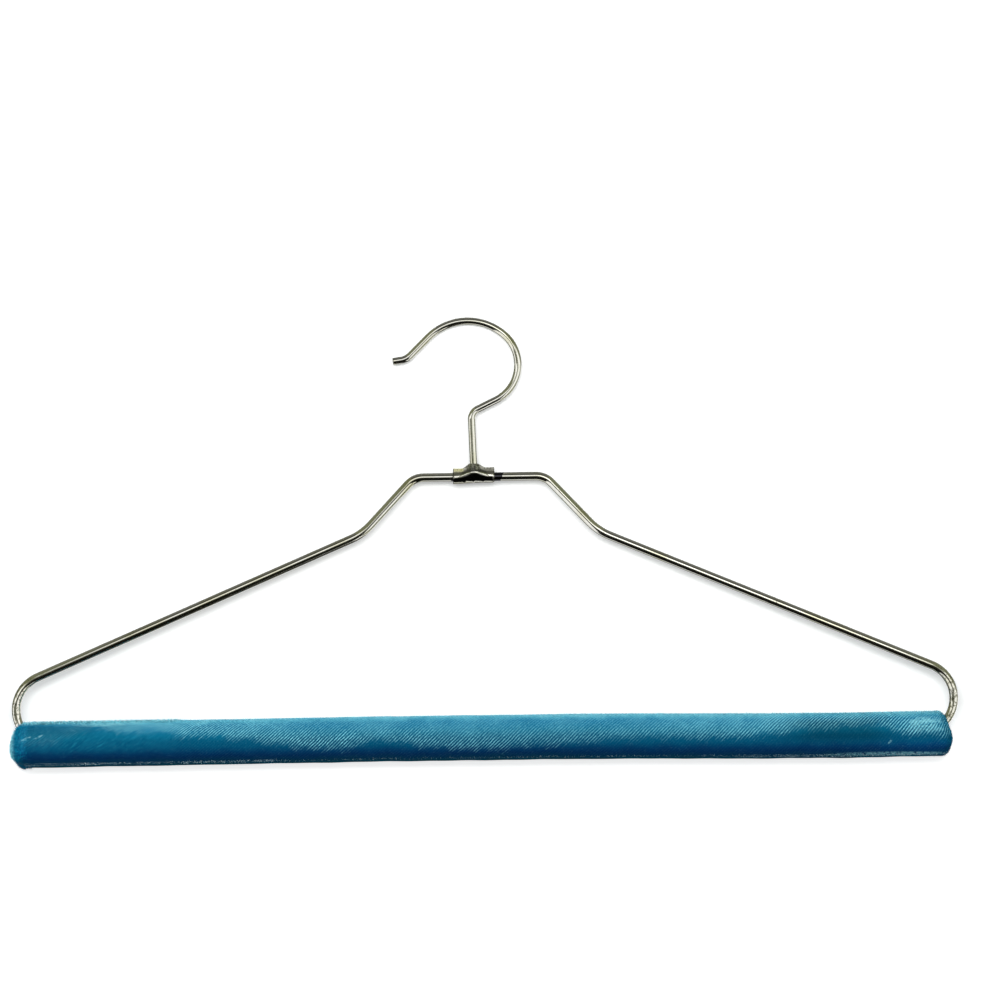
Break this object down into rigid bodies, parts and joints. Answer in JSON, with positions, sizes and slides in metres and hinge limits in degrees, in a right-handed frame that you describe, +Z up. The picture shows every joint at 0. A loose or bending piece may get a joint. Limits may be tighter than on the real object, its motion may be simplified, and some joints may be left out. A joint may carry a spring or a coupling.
{
  "type": "velvet trouser hanger",
  "caption": "Clothes hanger with a swivelling wire hook, a folded clip, a bent wire frame and a padded bar in ribbed blue velvet.",
  "frame": {"origin": "the rod seat, the highest point inside the hook's crown, where the hanger rests on its rail", "axes": "+Z up as it hangs, +X along the bar to the right seen from the front, -Y out of the front"},
  "size_m": [0.4004, 0.0196, 0.1875],
  "materials": {
    "nickel_plate": "bright nickel plate with light pits",
    "clip_steel": "plated sheet, worn",
    "card": "wound card",
    "turned_wood": "bare turned wood",
    "cotton_wadding": "soft wadding",
    "velvet": "ribbed velvet pile",
    "thread": "spun thread"
  },
  "bodies": {
    "hook": {"hook": "nickel_plate"},
    "clip": {"neck_clip": "clip_steel"},
    "frame": {"frame_wire": "nickel_plate", "core_tube": "card", "end_plug_left": "turned_wood", "end_plug_right": "turned_wood", "padding": "cotton_wadding", "velvet_cover": "velvet", "closing_thread_left": "thread", "closing_thread_right": "thread"}
  },
  "joints": [
    {"name": "hook_swivel", "type": "hinge", "parent": "hook", "child": "clip", "pos_m": [0.00197, 0, -0.0591], "axis": [0, 0, 1], "continuous": true},
    {"name": "clip_slide", "type": "slide", "parent": "clip", "child": "frame", "axis": [1, 0, 0], "range_m": [-0.017, 0.012]}
  ]
}
